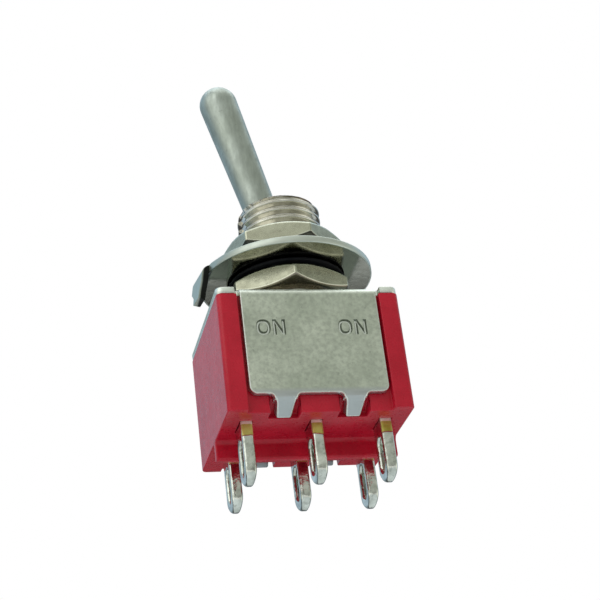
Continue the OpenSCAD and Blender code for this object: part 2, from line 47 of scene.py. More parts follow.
# The looks of a panel toggle switch around its CAD model. Lengths are in millimetres and angles in
# degrees, as in part.scad, unless a comment says otherwise. The stamped flange faces -Y, the lever
# stands on the +Z side and leans towards -X, and Z is 0 on the frame's top face.

# ---------------------------------------------------------------- measures
# Width of the rounded edges
FRAME_BEVEL = 0.10
CASE_BEVEL = 0.07
NUT_BEVEL = 0.12
WASHER_BEVEL = 0.06
LOCK_WASHER_BEVEL = 0.03
LUG_BEVEL = 0.20
# An edge whose faces turn by more than this is rounded
ROUNDED_ANGLE = 28.0
# Faces that turn by less than this are one flat face
FLAT_ANGLE = 0.6
# Points nearer than this are one point
WELD = 1e-4

# The front flange's outer face
FRONT_Y = -5.4
# The back tabs' tips lie behind this Y and below this Z, and reach further down than in the CAD
BACK_TIPS_Y = 3.0
BACK_TIPS_Z = -8.7
BACK_TIPS_DROP = 0.28

# The locating tab keeps its CAD edges beyond the first X. Its tip lies beyond the second and below
# this Z, and reaches further down than in the CAD.
LOCATING_TAB_X = -5.6
LOCATING_TIP_X = -6.0
LOCATING_TIP_Z = 2.0
LOCATING_TIP_DROP = 0.22

# Lugs: below this Z their tips are drawn in, by this share from one millimetre further down on
LUG_PITCH = 4.75
LUG_ROUND_Z = -12.1
LUG_TIP_ROUNDING = 0.4

# Bushing: its top, and the radius, bottom, top and hole of the flange under the frame
BUSHING_TOP = 8.8
FLANGE_R = 3.8
FLANGE_BOTTOM = -1.1
FLANGE_TOP = -0.5
FLANGE_HOLE_R = 2.4
# The chamfer round the top, which starts a little inside the crests
RIM_CHAMFER = 0.2
RIM_INSET = 0.08
RIM_SLOPE = 0.9
# The mouth, and the radius and height of the two ends of its small chamfer
MOUTH_R = 2.5
MOUTH_EDGE = ((MOUTH_R + 0.04, BUSHING_TOP), (MOUTH_R - 0.02, BUSHING_TOP - 0.06))
# The lever's ball turns about the pivot, in a hollow that the mouth narrows down to
PIVOT_Z = 4.15
BALL_SEAT_R = 2.05
SEAT_MOUTH_R = 1.7
SEAT_RINGS = 8

# Thread: the half flat at its root and its flank are shares of the pitch. A crest passes at
# CREST_FACING_Z in the direction FACING_DEG, as in the picture.
THREAD_CREST_R = 3.0
THREAD_ROOT_R = 2.62
THREAD_PITCH = 0.65
ROOT_HALF_FLAT = 0.07
FLANK = 0.34
CREST_FACING_Z = 8.24
FACING_DEG = -105.0
ROWS_PER_PITCH = 14
COLUMNS = 180

# Nicks in the top crest, each with its direction and depth
NICKS = ((-128.0, 0.20), (-113.0, 0.16), (-98.0, 0.14), (-146.0, 0.24))
NICK_HALF_ANGLE = 3.0
NICK_H = 0.3
NICK_INSET = 0.12

# Keyway: half its width, its flat floor's distance from the axis, its direction and lower end, and
# half the angle that each of its walls takes
KEYWAY_HALF = 0.5
KEYWAY_FLAT = 2.7
KEYWAY_DEG = 187.5
KEYWAY_BOTTOM = 0.05
KEYWAY_HALF_ANGLE = math.degrees(math.atan(KEYWAY_HALF / KEYWAY_FLAT))
KEYWAY_WALL_ANGLE = 0.15

# Words: the middle of each ON on the flange in X and Z, and the size of its letters
WORDS = ((-2.86, -3.06), (2.76, -3.09))
LETTER_H = 1.18
LETTER_DEPTH = 0.15
LETTER_TAPER = 0.09
STROKE = 0.27
# The O's middle from the word's, half its width, and how square it is
O_X = -0.50
O_HALF_WIDTH = 0.51
O_POWER = 2.5
O_POINTS = 40
# The N's sides from the word's middle, and the upright thickness of its diagonal
N_LEFT = 0.12
N_RIGHT = 1.02
N_DIAGONAL = 1.9 * STROKE
# The punches start this far in front of the flange
PUNCH_START = 0.04
# Where the stamped faces lie: X to either side, Z about its middle, and Y. The floors lie behind
# the last Y.
STAMP_X = (1.5, 4.0)
STAMP_Z = -3.08
STAMP_HALF_H = LETTER_H * 0.6
STAMP_Y = (FRONT_Y + 0.004, FRONT_Y + 0.3)
STAMP_FLOOR_Y = FRONT_Y + LETTER_DEPTH - 0.01

# Tones, roughness and grain that more than one material uses
MIDDLE = (0.3, 0.7)  # the span of a noise that is spread over two tones
STREAK_SHADE = 0.55  # the tone of streaks in plating, as a share of its dark tone
SPECK_SHADE = 0.45
SPECK_STRENGTH = 0.35
# painted shade on the back tabs' tips
BACK_TIP_SHADE_TONE = (0.34, 0.36, 0.37)
FRAME_ROUGH = (0.36, 0.50)
FRAME_GRAIN = (3200, 3200, 3200)
NUT_TONES = (0.42, 0.42, 0.31), (0.56, 0.57, 0.44)
NUT_GRAIN = (1800, 1800, 2600)
# painted shade on the chamfers under the lower and the upper nut
LOWER_CHAMFER_SHADE_TONE = (0.27, 0.235, 0.185)
UPPER_CHAMFER_SHADE_TONE = (0.07, 0.07, 0.06)


# ---------------------------------------------------------------- shader nodes
class Nodes:
    """A short way to build the node tree of a material or a world."""

    def __init__(self, owner, space):
        owner.use_nodes = True
        self.tree = owner.node_tree
        self.tree.nodes.clear()
        self.where = self.add("ShaderNodeTexCoord").outputs[space]

    def add(self, kind, **settings):
        node = self.tree.nodes.new(kind)
        for key, value in settings.items():
            setattr(node, key, value)
        return node

    def link(self, a, b):
        self.tree.links.new(a, b)

    def fill(self, socket, value):
        """Link an output to the socket, or set the socket to a number or a colour."""
        if isinstance(value, (int, float)):
            socket.default_value = value
        elif isinstance(value, tuple):
            socket.default_value = (*value, 1.0)
        else:
            self.link(value, socket)

    def along(self, axis):
        """The place's coordinate on an axis."""
        node = self.add("ShaderNodeSeparateXYZ")
        self.link(self.where, node.inputs["Vector"])
        return node.outputs[axis]

    def noise(self, scale, detail=3.0, roughness=0.5, grain=None):
        """Noise from 0 to 1. A grain stretches it by a scale of its own on each axis."""
        where = self.where
        if grain:
            mapping = self.add("ShaderNodeMapping")
            mapping.inputs["Scale"].default_value = grain
            self.link(where, mapping.inputs["Vector"])
            where = mapping.outputs["Vector"]
        node = self.add("ShaderNodeTexNoise")
        node.inputs["Scale"].default_value = scale
        node.inputs["Detail"].default_value = detail
        node.inputs["Roughness"].default_value = roughness
        self.link(where, node.inputs["Vector"])
        return node.outputs["Fac"]

    def spread(self, value, low, high, to_low=0.0, to_high=1.0):
        """The value, with its span from low to high spread over to_low to to_high."""
        node = self.add("ShaderNodeMapRange")
        node.inputs["From Min"].default_value = low
        node.inputs["From Max"].default_value = high
        node.inputs["To Min"].default_value = to_low
        node.inputs["To Max"].default_value = to_high
        self.link(value, node.inputs["Value"])
        return node.outputs["Result"]

    def calc(self, operation, a, b=0.0):
        node = self.add("ShaderNodeMath", operation=operation)
        self.fill(node.inputs[0], a)
        self.fill(node.inputs[1], b)
        return node.outputs[0]

    def plus(self, a, b):
        return self.calc("ADD", a, b)

    def minus(self, a, b):
        return self.calc("SUBTRACT", a, b)

    def times(self, a, b):
        return self.calc("MULTIPLY", a, b)

    def absolute(self, value):
        return self.calc("ABSOLUTE", value)

    def dot(self, value, direction):
        node = self.add("ShaderNodeVectorMath", operation="DOT_PRODUCT")
        self.link(value, node.inputs[0])
        node.inputs[1].default_value = direction
        return node.outputs["Value"]

    def mix(self, factor, a, b):
        """Colour a where the factor is 0, and b where it is 1."""
        node = self.add("ShaderNodeMix", data_type="RGBA")
        self.link(factor, node.inputs["Factor"])
        self.fill(node.inputs["A"], a)
        self.fill(node.inputs["B"], b)
        return node.outputs["Result"]

    def clouded(self, noise, dark, light, span=MIDDLE):
        """Two tones mixed by a noise."""
        return self.mix(self.spread(noise, *span), dark, light)


class Finish(Nodes):
    """A material of one Principled shader."""

    def __init__(self, name):
        self.material = bpy.data.materials.new(name)
        super().__init__(self.material, "Object")
        self.bsdf = self.add("ShaderNodeBsdfPrincipled")
        out = self.add("ShaderNodeOutputMaterial")
        self.link(self.bsdf.outputs["BSDF"], out.inputs["Surface"])

    def put(self, socket, value):
        self.bsdf.inputs[socket].default_value = value

    def color(self, value):
        self.link(value, self.bsdf.inputs["Base Color"])

    def metallic(self, value):
        self.link(value, self.bsdf.inputs["Metallic"])

    def roughness(self, value):
        self.link(value, self.bsdf.inputs["Roughness"])

    def bump(self, height, strength, depth):
        node = self.add("ShaderNodeBump")
        node.inputs["Strength"].default_value = strength
        node.inputs["Distance"].default_value = depth * MM
        self.link(height, node.inputs["Height"])
        self.link(node.outputs["Normal"], self.bsdf.inputs["Normal"])

    def facing(self, *direction):
        """How far the surface faces the given direction, from -1 to 1."""
        normal = self.add("ShaderNodeNewGeometry").outputs["True Normal"]
        return self.dot(normal, direction)

    def mask(self, length, none, full):
        """0 where the length is none, and 1 where it is full, both in millimetres."""
        return self.spread(length, none * MM, full * MM)

    def from_axis(self):
        """The place's distance from the Z axis."""
        flat = self.add("ShaderNodeVectorMath", operation="MULTIPLY")
        flat.inputs[1].default_value = (1.0, 1.0, 0.0)
        self.link(self.where, flat.inputs[0])
        length = self.add("ShaderNodeVectorMath", operation="LENGTH")
        self.link(flat.outputs["Vector"], length.inputs[0])
        return length.outputs["Value"]


# ---------------------------------------------------------------- places on the plated pieces where light and shade are painted
def fold_highlights(m):
    """The flanges' folds, with a painted highlight where the bend catches the light."""
    up = m.mask(m.along("Z"), -0.60, -0.30)
    return m.times(up, m.mask(m.absolute(m.along("Y")), 4.95, 5.05))


def back_tip_shade(m):
    """The ends of the back tabs, with painted shade."""
    low = m.mask(m.along("Z"), -8.85, -8.92)
    return m.times(low, m.mask(m.along("Y"), 0.0, 1.0))


def front_tab_shade(m):
    """The front flange's tabs, with painted shade in a bluish tint."""
    low = m.mask(m.along("Z"), -7.45, -7.75)
    return m.times(low, m.mask(m.along("Y"), 0.0, -1.0))


def mouth_rim_shade(m):
    """The sharp rim of the bushing's mouth, with painted shade in a dark line."""
    side = m.spread(m.facing(0.0, 0.0, 1.0), 0.9, 0.5)
    return m.times(side, m.mask(m.along("Z"), 8.68, 8.74))


def facing_down(m):
    """The nuts' lower faces and the chamfers round them."""
    return m.spread(m.facing(0.0, 0.0, -1.0), 0.40, 0.46)


def lower_chamfer_shade(m):
    """The chamfer under the lower nut, with brown painted shade."""
    return m.times(facing_down(m), m.mask(m.along("Z"), 3.6, 3.4))


def upper_chamfer_shade(m):
    """The chamfer under the upper nut, with darker painted shade."""
    return m.times(facing_down(m), m.mask(m.along("Z"), 3.4, 3.6))


def upright(m):
    """The nuts' six flats."""
    return m.spread(m.absolute(m.facing(0.0, 0.0, 1.0)), 0.16, 0.06)


# ---------------------------------------------------------------- materials
def red_plastic():
    """Glossy moulded plastic with a faint cloud and a fine grain."""
    m = Finish("red_moulding")
    cloud = m.noise(420, roughness=0.6)
    fine = m.noise(2600, roughness=0.6)
    m.color(m.clouded(cloud, dark=(0.46, 0.006, 0.023), light=(0.58, 0.012, 0.034)))
    m.put("Specular IOR Level", 0.32)
    m.put("IOR", 1.52)
    m.roughness(m.spread(fine, *MIDDLE, 0.24, 0.34))
    m.bump(m.plus(fine, m.times(cloud, 2.0)), strength=0.25, depth=0.03)
    return m.material


def plated(name, dark, light, rough, grain=(900, 900, 900), bump=0.2, mottle=0.25, places=()):
    """Plated metal: a clouded colour, a fine grain that may run one way, small darker specks, and
    places with colours of their own, where light and shade are painted."""
    m = Finish(name)
    streak = m.noise(1.0, detail=4, roughness=0.6, grain=grain)
    streaks = m.spread(streak, 0.35, 0.65, 0.0, mottle)
    specks = m.times(m.spread(m.noise(3400, detail=2), 0.68, 0.74), SPECK_STRENGTH)
    tone = m.clouded(m.noise(330), dark, light)
    tone = m.mix(streaks, tone, tuple(STREAK_SHADE * c for c in dark))
    tone = m.mix(specks, tone, tuple(SPECK_SHADE * c for c in dark))
    for where, color in places:
        tone = m.mix(where(m), tone, color)
    m.color(tone)
    m.put("Metallic", 1.0)
    m.roughness(m.spread(streak, *MIDDLE, *rough))
    m.bump(streak, bump, depth=0.02)
    return m.material


def washer_plate():
    """Plated steel, with painted shade on its underside and a painted highlight on its rim, which
    is painted darker towards -X. The locating tab is painted a duller tone for its shade, and has a
    painted shadow on its front edge."""
    m = Finish("washer_nickel")
    cloud = m.noise(330)
    fine = m.noise(2200, roughness=0.6)
    x = m.along("X")
    # painted shade: the underside is a darker, shaded copy of the top's plating
    under = m.clouded(cloud, (0.31, 0.31, 0.255), (0.43, 0.42, 0.355))
    over = m.clouded(cloud, (0.60, 0.63, 0.58), (0.76, 0.79, 0.74))
    face = m.mix(m.spread(m.facing(0.0, 0.0, 1.0), 0.2, 0.6), under, over)
    # painted highlight on the rim, with painted shade making it darker towards -X
    cut = m.mix(m.mask(x, -5.0, -1.0), (0.52, 0.57, 0.51), (0.66, 0.71, 0.64))
    rim = m.mask(m.from_axis(), 6.00, 6.08)
    # the locating tab is painted a duller tone for its shade
    tab = m.mask(x, -5.60, -5.90)
    plate = m.mix(tab, m.mix(rim, face, cut), (0.50, 0.57, 0.50))
    # the folded tab leans, so its outer face is a sloping line in the XZ plane
    outer_face = m.plus(m.times(m.along("Z"), 0.176), -7.01 * MM)
    behind_it = m.mask(m.minus(x, outer_face), 0.10, 0.22)
    front_edge = m.spread(m.facing(0.0, -0.8, -0.6), 0.4, 0.55)
    # painted shadow on the locating tab's front edge
    shadow = m.times(m.times(tab, behind_it), front_edge)
    m.color(m.mix(shadow, plate, (0.02, 0.022, 0.02)))
    m.put("Metallic", 1.0)
    m.roughness(m.plus(m.spread(fine, *MIDDLE, 0.06, 0.15), m.times(rim, 0.26)))
    m.bump(fine, strength=0.08, depth=0.02)
    return m.material


def tinned_lug():
    """Tin over brass. The dip ends in a step just under the case. Above it the front shows brass,
    with a painted highlight in a thin pale line at the case."""
    m = Finish("tinned_lug")
    z = m.along("Z")
    wave = m.times(m.minus(m.noise(1500, detail=2), 0.5), 0.2 * MM)
    above_dip = m.mask(m.plus(z, wave), -9.99, -9.91)
    bare = m.times(above_dip, m.spread(m.facing(0.0, -1.0, 0.0), 0.3, 0.6))
    cloud = m.noise(700, detail=4, roughness=0.6)
    lumps = m.noise(2300, detail=2, roughness=0.6)
    tin = m.clouded(cloud, (0.50, 0.53, 0.47), (0.86, 0.90, 0.82), span=(0.38, 0.62))
    tin = m.mix(m.spread(lumps, 0.56, 0.66, 0.0, 0.45), tin, (0.30, 0.32, 0.28))
    brass = m.clouded(cloud, (0.42, 0.38, 0.05), (0.70, 0.66, 0.20), span=(0.35, 0.65))
    # painted highlight in a thin pale line where the lug enters the case
    root_highlight = m.times(m.mask(z, -9.20, -9.14), bare)
    m.color(m.mix(root_highlight, m.mix(bare, tin, brass), (0.96, 0.92, 0.84)))
    m.metallic(m.spread(bare, 0.0, 1.0, 1.0, 0.60))
    m.roughness(m.plus(m.spread(cloud, *MIDDLE, 0.07, 0.22), m.times(bare, 0.2)))
    step = m.times(m.minus(1.0, bare), 1.5)
    surface = m.plus(m.times(cloud, 0.8), lumps)
    m.bump(m.plus(step, surface), strength=0.6, depth=0.04)
    return m.material


def dull(name, scale, dark, light, rough, specular=0.5):
    """A clouded finish that isn't metallic."""
    m = Finish(name)
    cloud = m.noise(scale)
    m.color(m.clouded(cloud, dark, light))
    m.put("Specular IOR Level", specular)
    m.roughness(m.spread(cloud, *MIDDLE, *rough))
    m.bump(m.noise(4000, detail=2), strength=0.2, depth=0.02)
    return m.material


RED = red_plastic()
FRAME = plated(
    "frame_nickel",
    dark=(0.58, 0.64, 0.53),
    light=(0.80, 0.86, 0.73),
    rough=FRAME_ROUGH,
    grain=FRAME_GRAIN,
    bump=0.35,
    mottle=0.5,
    places=(
        # painted highlight on the folds
        (fold_highlights, (0.92, 0.98, 0.90)),
        # painted bluish shade on the front tabs
        (front_tab_shade, (0.53, 0.57, 0.56)),
        # painted shade on the back tabs' tips
        (back_tip_shade, BACK_TIP_SHADE_TONE),
    ),
)
# the rounded edges and the letters' floors, lighter than the frame: a painted highlight
FRAME_EDGE_HIGHLIGHT = plated(
    "frame_edge_painted_highlight",
    dark=(0.80, 0.85, 0.78),
    light=(0.90, 0.94, 0.88),
    rough=(0.24, 0.36),
    grain=FRAME_GRAIN,
    bump=0.3,
    mottle=0.2,
    # painted shade on the back tabs' tips
    places=((back_tip_shade, BACK_TIP_SHADE_TONE),),
)
# the letters' walls, darker than the frame: painted shade
STAMP_WALL_SHADE = plated(
    "stamp_wall_painted_shade",
    dark=(0.31, 0.34, 0.28),
    light=(0.40, 0.44, 0.37),
    rough=FRAME_ROUGH,
    grain=FRAME_GRAIN,
    bump=0.3,
    mottle=0.3,
)
NUT = plated(
    "nut_nickel",
    *NUT_TONES,
    rough=(0.20, 0.32),
    grain=NUT_GRAIN,
    bump=0.25,
    mottle=0.4,
    # painted shade on the chamfers under the lower and the upper nut
    places=((lower_chamfer_shade, LOWER_CHAMFER_SHADE_TONE), (upper_chamfer_shade, UPPER_CHAMFER_SHADE_TONE)),
)
# the nuts' rounded edges, lighter than the nuts for a painted highlight, but for those between the
# flats and on the chamfers' painted shade
NUT_EDGE_HIGHLIGHT = plated(
    "nut_edge_painted_highlight",
    dark=(0.66, 0.68, 0.54),
    light=(0.80, 0.82, 0.68),
    rough=(0.18, 0.28),
    grain=NUT_GRAIN,
    mottle=0.2,
    places=((upright, NUT_TONES[1]), (lower_chamfer_shade, LOWER_CHAMFER_SHADE_TONE), (upper_chamfer_shade, UPPER_CHAMFER_SHADE_TONE)),
)
THREAD = plated(
    "thread_nickel",
    dark=(0.58, 0.56, 0.48),
    light=(0.94, 0.93, 0.83),
    rough=(0.10, 0.20),
    grain=(900, 900, 2500),
    mottle=0.5,
    # painted shade in a dark line round the mouth's rim
    places=((mouth_rim_shade, (0.16, 0.13, 0.10)),),
)
LEVER = plated(
    "lever_chrome",
    dark=(0.41, 0.46, 0.40),
    light=(0.55, 0.61, 0.56),
    rough=(0.34, 0.48),
    grain=(3000, 3000, 900),
    bump=0.4,
    mottle=0.4,
)
STEEL = plated("spring_steel", (0.30, 0.30, 0.30), (0.46, 0.46, 0.45), (0.25, 0.4))
BRASS = plated("contact_brass", (0.62, 0.46, 0.18), (0.80, 0.66, 0.34), (0.15, 0.3))
SILVER = plated("contact_silver", (0.75, 0.75, 0.73), (0.9, 0.9, 0.88), (0.15, 0.3))
WASHER = washer_plate()
LUG = tinned_lug()
NYLON = dull("carrier_nylon", 700, (0.76, 0.75, 0.68), (0.86, 0.85, 0.80), (0.42, 0.58))
# near black: painted shade for the dark gap where the lock washer sits
LOCK_WASHER_SHADE = dull(
    "lock_washer_painted_shade", 900, (0.004, 0.005, 0.007), (0.012, 0.012, 0.014), (0.5, 0.7), specular=0.12
)


# ---------------------------------------------------------------- geometry helpers
def add_to_scene(obj):
    bpy.context.scene.collection.objects.link(obj)


def dress(node, material):
    """Give a CAD node a material in place of its plain one."""
    slots = NODES[node].data.materials
    for i in range(len(slots)):
        slots[i] = material


def node_mesh(node):
    """A copy of a CAD node's mesh."""
    bm = bmesh.new()
    bm.from_mesh(NODES[node].data)
    return bm


def mesh_from(bm, name, materials=()):
    """A mesh made of the bmesh, which is freed."""
    data = bpy.data.meshes.new(name)
    bm.to_mesh(data)
    bm.free()
    for material in materials:
        data.materials.append(material)
    return data


def piece_from(bm, name, materials, body, node, sharp=50.0):
    """A new piece that rides on a CAD body and stands for a CAD node. It is shaded smooth but for
    the edges that turn by more than the sharp angle."""
    bm.normal_update()
    for face in bm.faces:
        face.smooth = True
    limit = math.radians(sharp)
    for edge in bm.edges:
        edge.smooth = len(edge.link_faces) == 2 and edge.calc_face_angle() < limit
    obj = bpy.data.objects.new(name, mesh_from(bm, name, materials))
    add_to_scene(obj)
    obj.modifiers.new("weighted", "WEIGHTED_NORMAL").keep_sharp = True
    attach(obj, body)
    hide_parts(node)
    return obj


def softened_mesh(node, width, segments=2, whole=True, within=None, edge_slot=-1):
    """The CAD node's mesh with its sharp edges slightly rounded, or those of them that lie within
    a region. With whole set, each flat face is made one face first."""
    bm = node_mesh(node)
    bmesh.ops.remove_doubles(bm, verts=bm.verts, dist=WELD * MM)
    if whole:
        limit = math.radians(FLAT_ANGLE)
        bmesh.ops.dissolve_limit(bm, angle_limit=limit, verts=bm.verts, edges=bm.edges)
    sharp = [
        e
        for e in bm.edges
        if len(e.link_faces) == 2
        and e.calc_face_angle() > math.radians(ROUNDED_ANGLE)
        and (within is None or all(within(v.co / MM) for v in e.verts))
    ]
    bmesh.ops.bevel(
        bm,
        geom=sharp,
        offset=width * MM,
        offset_type="OFFSET",
        segments=segments,
        profile=0.5,
        affect="EDGES",
        clamp_overlap=False,
        material=edge_slot,
    )
    return bm


def softened(node, width, materials, slot, moved=None, **options):
    """Replace a node of the base by its softened mesh. Where moved is given, it says how far each
    point moves."""
    bm = softened_mesh(node, width, **options)
    for vert in bm.verts if moved else ():
        vert.co += Vector(moved(vert.co / MM)) * MM
    piece_from(bm, node + "_finished", materials, "base", node)


def wall(bm, one, other):
    """A band of faces between two closed loops of as many points."""
    for k in range(len(one)):
        n = (k + 1) % len(one)
        bm.faces.new((one[k], one[n], other[n], other[k]))


# ---------------------------------------------------------------- threaded bushing
def turned(degrees, start):
    """The turn from start to the given direction, from -180 to 180."""
    return (degrees - start + 180.0) % 360.0 - 180.0


def thread_radius(degrees, z):
    """Radius of a right-hand thread with narrow flats at its crest and root."""
    turns = (degrees - FACING_DEG) / 360.0
    phase = (z - CREST_FACING_Z) / THREAD_PITCH - turns
    from_root = 0.5 - abs(phase - round(phase))
    rise = min(1.0, max(0.0, (from_root - ROOT_HALF_FLAT) / FLANK))
    return THREAD_ROOT_R + (THREAD_CREST_R - THREAD_ROOT_R) * rise


def outer_radius(degrees, z):
    """Radius of the bushing's outside, with its thread, chamfered rim, nicks and keyway."""
    r = thread_radius(degrees, z)
    rim = BUSHING_TOP - RIM_CHAMFER
    if z > rim:
        r = min(r, THREAD_CREST_R - RIM_INSET - (z - rim) * RIM_SLOPE)
    for at, depth in NICKS:
        off = abs(turned(degrees, at))
        if off < NICK_HALF_ANGLE and z > BUSHING_TOP - NICK_H:
            r = min(r, THREAD_CREST_R - NICK_INSET - depth * (1 - off / NICK_HALF_ANGLE))
    from_key = turned(degrees, KEYWAY_DEG)
    if abs(from_key) < KEYWAY_HALF_ANGLE and z > KEYWAY_BOTTOM:
        r = min(r, KEYWAY_FLAT / math.cos(math.radians(from_key)))
    return r


def bushing_rings():
    """Radius and height of each ring, in order round the bushing's section. The radius is None in
    the thread, where it changes round the ring."""
    rings = [(FLANGE_HOLE_R, FLANGE_BOTTOM), (FLANGE_R, FLANGE_BOTTOM), (FLANGE_R, FLANGE_TOP)]
    thread_h = BUSHING_TOP - FLANGE_TOP
    steps = round(thread_h / (THREAD_PITCH / ROWS_PER_PITCH))
    rings += [(None, FLANGE_TOP + thread_h * i / steps) for i in range(steps + 1)]
    rings += MOUTH_EDGE
    rings.append((SEAT_MOUTH_R, PIVOT_Z + math.sqrt(BALL_SEAT_R**2 - SEAT_MOUTH_R**2)))
    top = math.asin(SEAT_MOUTH_R / BALL_SEAT_R)
    for i in range(1, SEAT_RINGS + 1):
        a = top + (math.pi / 2 - top) * i / SEAT_RINGS
        rings.append((BALL_SEAT_R * math.sin(a), PIVOT_Z + BALL_SEAT_R * math.cos(a)))
    rings.append((BALL_SEAT_R, FLANGE_TOP))
    return rings


def threaded_bushing():
    even = {round(i * 360.0 / COLUMNS, 4) for i in range(COLUMNS)}
    keyway_walls = {
        round(KEYWAY_DEG + side * (KEYWAY_HALF_ANGLE + step), 4)
        for side in (-1, 1)
        for step in (-KEYWAY_WALL_ANGLE, KEYWAY_WALL_ANGLE)
    }
    bm = bmesh.new()
    rings = []
    for r, z in bushing_rings():
        ring = []
        for degrees in sorted(even | keyway_walls):
            a = math.radians(degrees)
            radius = outer_radius(degrees, z) if r is None else r
            place = (radius * math.cos(a) * MM, radius * math.sin(a) * MM, z * MM)
            ring.append(bm.verts.new(place))
        rings.append(ring)
    for ring, after in zip(rings, rings[1:] + rings[:1]):
        wall(bm, ring, after)
    bmesh.ops.recalc_face_normals(bm, faces=bm.faces)
    piece_from(bm, "bushing_threaded", (THREAD,), "base", "bushing", sharp=60.0)


# ---------------------------------------------------------------- stamped letters
def oval(half_width, half_height):
    """A closed outline between an ellipse and a rectangle, as a stamped letter O has."""
    points = []
    for i in range(O_POINTS):
        a = 2 * math.pi * i / O_POINTS
        x, z = (math.copysign(abs(v) ** (2 / O_POWER), v) for v in (math.cos(a), math.sin(a)))
        points.append((half_width * x, half_height * z))
    return points


def letter_n():
    """The outline of a letter N, from the word's middle."""
    half = LETTER_H / 2
    return [
        (N_LEFT, -half),
        (N_LEFT + STROKE, -half),
        (N_LEFT + STROKE, half - N_DIAGONAL),
        (N_RIGHT - STROKE, -half),
        (N_RIGHT, -half),
        (N_RIGHT, half),
        (N_RIGHT - STROKE, half),
        (N_RIGHT - STROKE, -half + N_DIAGONAL),
        (N_LEFT + STROKE, half),
        (N_LEFT, half),
    ]


def shifted(points, dx, dz):
    return [(x + dx, z + dz) for x, z in points]


def inset(points, by):
    """The closed outline moved inwards, away from its own edges."""
    corners = [Vector(p) for p in points]
    before, after = corners[-1:] + corners[:-1], corners[1:] + corners[:1]
    area = sum(a.x * b.y - b.x * a.y for a, b in zip(corners, after))
    side = math.copysign(1.0, area)
    moved = []
    for last, here, following in zip(before, corners, after):
        come, go = (here - last).normalized(), (following - here).normalized()
        n1, n2 = (Vector((-d.y, d.x)) * side for d in (come, go))
        moved.append(tuple(here + (n1 + n2) * (by / (1.0 + n1.dot(n2)))))
    return moved


def add_punch(bm, outline, hole=None):
    """A closed punch into the flange with the given XZ outline, which tapers to its end. It may
    have a hole, of as many points."""
    shapes = [(outline, inset(outline, LETTER_TAPER))]
    if hole:
        shapes.append((hole, inset(hole, -LETTER_TAPER)))
    near, far = [], []
    for wide, narrow in shapes:
        for loops, points, y in (
            (near, wide, FRONT_Y - PUNCH_START),
            (far, narrow, FRONT_Y + LETTER_DEPTH),
        ):
            loops.append([bm.verts.new((x * MM, y * MM, z * MM)) for x, z in points])
    for one, other in zip(near, far):
        wall(bm, one, other)
    for loops in (near, far):
        if hole:
            wall(bm, *loops)
        else:
            bm.faces.new(loops[0])


def letter_cutter():
    """One mesh with the letters of both words, which the flange is cut with."""
    bm = bmesh.new()
    half = LETTER_H / 2
    outside, inside = oval(O_HALF_WIDTH, half), oval(O_HALF_WIDTH - STROKE, half - STROKE)
    for x, z in WORDS:
        add_punch(bm, shifted(outside, x + O_X, z), hole=shifted(inside, x + O_X, z))
        add_punch(bm, shifted(letter_n(), x, z))
    bmesh.ops.recalc_face_normals(bm, faces=bm.faces)
    return mesh_from(bm, "letter_cutter")


def stamped_frame():
    """The folded frame with both words stamped into its front flange."""
    materials = (FRAME, FRAME_EDGE_HIGHLIGHT, STAMP_WALL_SHADE)
    edge_slot, stamp_shade_slot = 1, 2
    # the frame's rounded edges get the lighter material, a painted highlight
    bm = softened_mesh("frame", FRAME_BEVEL, edge_slot=edge_slot)
    blank = bpy.data.objects.new("frame_blank", mesh_from(bm, "frame_blank", materials))
    cutter = bpy.data.objects.new("letter_cutter", letter_cutter())
    add_to_scene(blank)
    add_to_scene(cutter)
    cut = blank.modifiers.new("stamp", "BOOLEAN")
    cut.operation = "DIFFERENCE"
    cut.object = cutter
    cut.solver = "EXACT"
    cut.material_mode = "INDEX"
    bpy.context.view_layer.update()
    graph = bpy.context.evaluated_depsgraph_get()
    done = bmesh.new()
    done.from_mesh(blank.evaluated_get(graph).to_mesh())
    for obj in (blank, cutter):
        bpy.data.objects.remove(obj)
    # painted shade on the letters' walls, and a painted highlight on their floors
    for face in done.faces:
        x, y, z = face.calc_center_median() / MM
        in_words = STAMP_X[0] < abs(x) < STAMP_X[1] and abs(z - STAMP_Z) < STAMP_HALF_H
        if in_words and STAMP_Y[0] < y < STAMP_Y[1]:
            face.material_index = stamp_shade_slot if y < STAMP_FLOOR_Y else edge_slot
    for vert in done.verts:
        if vert.co.y > BACK_TIPS_Y * MM and vert.co.z < BACK_TIPS_Z * MM:
            vert.co.z -= BACK_TIPS_DROP * MM
    piece_from(done, "frame_stamped", materials, "base", "frame", sharp=40.0)


# ---------------------------------------------------------------- washer, lugs and springs
def tip_lowered(p):
    """How far a point of the tab washer moves, for the locating tab to reach as far down as in the
    picture."""
    at_tip = p.x < LOCATING_TIP_X and p.z < LOCATING_TIP_Z
    return (0.0, 0.0, -LOCATING_TIP_DROP if at_tip else 0.0)


def drawn_in(p):
    """How far a point of a lug moves in towards the lug's middle plane, where the solder rounds
    its tip."""
    below = min(1.0, max(0.0, LUG_ROUND_Z - p.z))
    middle = round(p.x / LUG_PITCH) * LUG_PITCH
    return ((middle - p.x) * LUG_TIP_ROUNDING * below**2, 0.0, 0.0)


def coil(pole):
    """A plunger's spring, which in the switch shortens towards its seat in the carrier as the
    plunger is pressed up. Here it rides on the carrier with a mesh of its own."""
    node = f"spring_{pole}"
    bm = node_mesh(node)
    obj = piece_from(bm, node + "_coil", (STEEL,), "carrier", node)
    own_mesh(obj)


# ---------------------------------------------------------------- pieces
threaded_bushing()
stamped_frame()
softened("case", CASE_BEVEL, (RED,), "case_plastic", whole=False)
